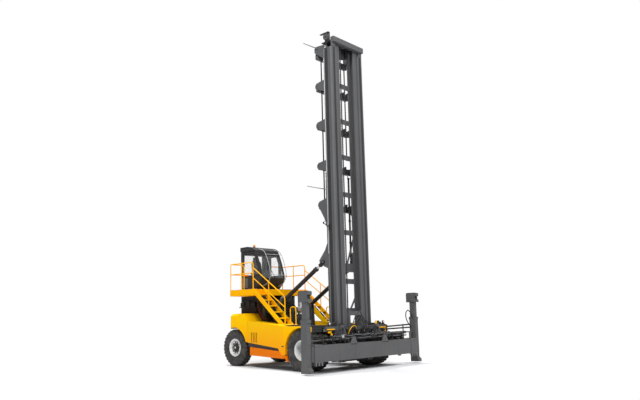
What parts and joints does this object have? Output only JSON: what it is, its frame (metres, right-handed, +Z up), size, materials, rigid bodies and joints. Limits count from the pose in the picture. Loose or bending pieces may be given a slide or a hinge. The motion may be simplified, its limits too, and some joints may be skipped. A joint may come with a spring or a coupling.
{
  "type": "empty container handler",
  "caption": "Mobile empty container handler: raised cab and deck over a counterweighted chassis, tilting telescopic mast with a side-shifting, extending end-lift spreader.",
  "frame": {"origin": "centre of the bounding box in plan, on the ground under the tyres", "axes": "+X forward towards the spreader, +Y to the machine's left, +Z up"},
  "size_m": [6.435, 6.06, 12.18],
  "materials": {
    "yellow_paint": "gloss",
    "orange_paint": "gloss",
    "black_paint": "satin",
    "mast_grey": "satin",
    "frame_grey": "satin",
    "cab_grey": "satin",
    "rim_white": "gloss",
    "tyre_rubber": "matte",
    "steel_rod": "polished",
    "engine_iron": "matte",
    "silencer_steel": "satin",
    "dark_plastic": "matte",
    "seat_fabric": "matte",
    "clear_glass": "clear",
    "amber_lens": "gloss",
    "clear_lens": "gloss",
    "chain_steel": "satin"
  },
  "bodies": {
    "chassis": {"chassis_frame": "frame_grey", "counterweight": "yellow_paint", "side_bodies": "yellow_paint", "sills": "black_paint", "skirts": "orange_paint", "front_fenders": "yellow_paint", "lamps": "clear_lens", "engine": "engine_iron", "engine_covers": "black_paint", "air_cleaner": "dark_plastic", "silencer": "silencer_steel", "drive_axle": "frame_grey", "steer_axle": "frame_grey", "deck": "yellow_paint", "stairs": "yellow_paint", "handrails": "yellow_paint", "cab_floor": "cab_grey", "cab_walls": "cab_grey", "cab_front": "cab_grey", "cab_roof": "cab_grey", "cab_glass": "clear_glass", "seat": "seat_fabric", "console": "dark_plastic", "beacon": "amber_lens", "cab_guard": "cab_grey"},
    "cab_door": {"door_frame": "cab_grey", "door_glass": "clear_glass"},
    "knuckle_left": {"knuckle_left": "frame_grey"},
    "knuckle_right": {"knuckle_right": "frame_grey"},
    "wheel_rear_left": {"tyre_rear_left": "tyre_rubber", "rim_rear_left": "rim_white"},
    "wheel_rear_right": {"tyre_rear_right": "tyre_rubber", "rim_rear_right": "rim_white"},
    "wheels_front_left": {"tyres_front_left": "tyre_rubber", "rim_front_left": "rim_white"},
    "wheels_front_right": {"tyres_front_right": "tyre_rubber", "rim_front_right": "rim_white"},
    "mast_outer": {"outer_uprights": "mast_grey", "outer_crossmembers": "mast_grey", "lift_barrels": "black_paint", "mast_lamps": "black_paint"},
    "mast_inner": {"inner_uprights": "mast_grey", "inner_crossmembers": "mast_grey", "lift_rods": "steel_rod", "hose_sheave": "mast_grey", "lift_chains": "chain_steel"},
    "carriage": {"carriage": "mast_grey", "slide_bars": "mast_grey"},
    "spreader": {"spreader_beam": "mast_grey", "slide_frame": "mast_grey", "spreader_hydraulics": "black_paint"},
    "tele_left": {"tele_left": "mast_grey"},
    "tele_right": {"tele_right": "mast_grey"},
    "post_left": {"post_left": "mast_grey"},
    "post_right": {"post_right": "mast_grey"},
    "tilt_barrel_left": {"tilt_barrel_left": "black_paint"},
    "tilt_barrel_right": {"tilt_barrel_right": "black_paint"},
    "tilt_rod_left": {"tilt_rod_left": "steel_rod"},
    "tilt_rod_right": {"tilt_rod_right": "steel_rod"}
  },
  "joints": [
    {"name": "steer_right", "type": "hinge", "parent": "chassis", "child": "knuckle_right", "pos_m": [-2.4175, -0.85, 0.69], "axis": [0, 0, 1], "range_deg": [-50, 50]},
    {"name": "steer_left", "type": "hinge", "parent": "chassis", "child": "knuckle_left", "pos_m": [-2.4175, 0.85, 0.69], "axis": [0, 0, 1], "range_deg": [-50, 50]},
    {"name": "spin_rear_right", "type": "hinge", "parent": "knuckle_right", "child": "wheel_rear_right", "pos_m": [-2.4175, -1.127, 0.69], "axis": [0, 1, 0], "continuous": true},
    {"name": "spin_rear_left", "type": "hinge", "parent": "knuckle_left", "child": "wheel_rear_left", "pos_m": [-2.4175, 1.127, 0.69], "axis": [0, 1, 0], "continuous": true},
    {"name": "spin_front_right", "type": "hinge", "parent": "chassis", "child": "wheels_front_right", "pos_m": [1.9025, -1.667, 0.69], "axis": [0, 1, 0], "continuous": true},
    {"name": "spin_front_left", "type": "hinge", "parent": "chassis", "child": "wheels_front_left", "pos_m": [1.9025, 1.667, 0.69], "axis": [0, 1, 0], "continuous": true},
    {"name": "cab_door", "type": "hinge", "parent": "chassis", "child": "cab_door", "pos_m": [-2.4915, 0.678, 3.6], "axis": [0, 0, 1], "range_deg": [0, 85]},
    {"name": "mast_tilt", "type": "hinge", "parent": "chassis", "child": "mast_outer", "pos_m": [2.3825, 0, 0.62], "axis": [0, 1, 0], "range_deg": [-3, 3]},
    {"name": "mast_lift", "type": "slide", "parent": "mast_outer", "child": "mast_inner", "axis": [0, 0, 1], "range_m": [0, 5.6]},
    {"name": "carriage_lift", "type": "slide", "parent": "mast_inner", "child": "carriage", "axis": [0, 0, 1], "range_m": [0, 5.6]},
    {"name": "side_shift", "type": "slide", "parent": "carriage", "child": "spreader", "axis": [0, 1, 0], "range_m": [-0.6, 0.6]},
    {"name": "spread_left", "type": "slide", "parent": "spreader", "child": "tele_left", "axis": [0, 1, 0], "range_m": [0, 3.05]},
    {"name": "spread_right", "type": "slide", "parent": "spreader", "child": "tele_right", "axis": [0, -1, 0], "range_m": [0, 3.05]},
    {"name": "post_left", "type": "slide", "parent": "tele_left", "child": "post_left", "axis": [0, 0, 1], "range_m": [0, 0.305]},
    {"name": "post_right", "type": "slide", "parent": "tele_right", "child": "post_right", "axis": [0, 0, 1], "range_m": [0, 0.305]},
    {"name": "tilt_barrel_left", "type": "hinge", "parent": "chassis", "child": "tilt_barrel_left", "pos_m": [-0.3975, 0.84, 2.233], "axis": [0, 1, 0], "range_deg": [-1.4, 1.4]},
    {"name": "tilt_rod_left", "type": "slide", "parent": "tilt_barrel_left", "child": "tilt_rod_left", "axis": [0.8485, 0, 0.5292], "range_m": [-0.1492, 0.1492]},
    {"name": "tilt_barrel_right", "type": "hinge", "parent": "chassis", "child": "tilt_barrel_right", "pos_m": [-0.3975, -0.84, 2.233], "axis": [0, 1, 0], "range_deg": [-1.4, 1.4]},
    {"name": "tilt_rod_right", "type": "slide", "parent": "tilt_barrel_right", "child": "tilt_rod_right", "axis": [0.8485, 0, 0.5292], "range_m": [-0.1492, 0.1492]}
  ],
  "couplings": [
    {"joint": "tilt_barrel_left", "follows": "mast_tilt", "ratio": 0.4496},
    {"joint": "tilt_rod_left", "follows": "mast_tilt", "m_per_rad": 2.8396},
    {"joint": "tilt_barrel_right", "follows": "mast_tilt", "ratio": 0.4496},
    {"joint": "tilt_rod_right", "follows": "mast_tilt", "m_per_rad": 2.8396},
    {"joint": "steer_left", "follows": "steer_right", "ratio": 1},
    {"joint": "carriage_lift", "follows": "mast_lift", "ratio": 1},
    {"joint": "spread_right", "follows": "spread_left", "ratio": 1},
    {"joint": "post_right", "follows": "post_left", "ratio": 1}
  ]
}
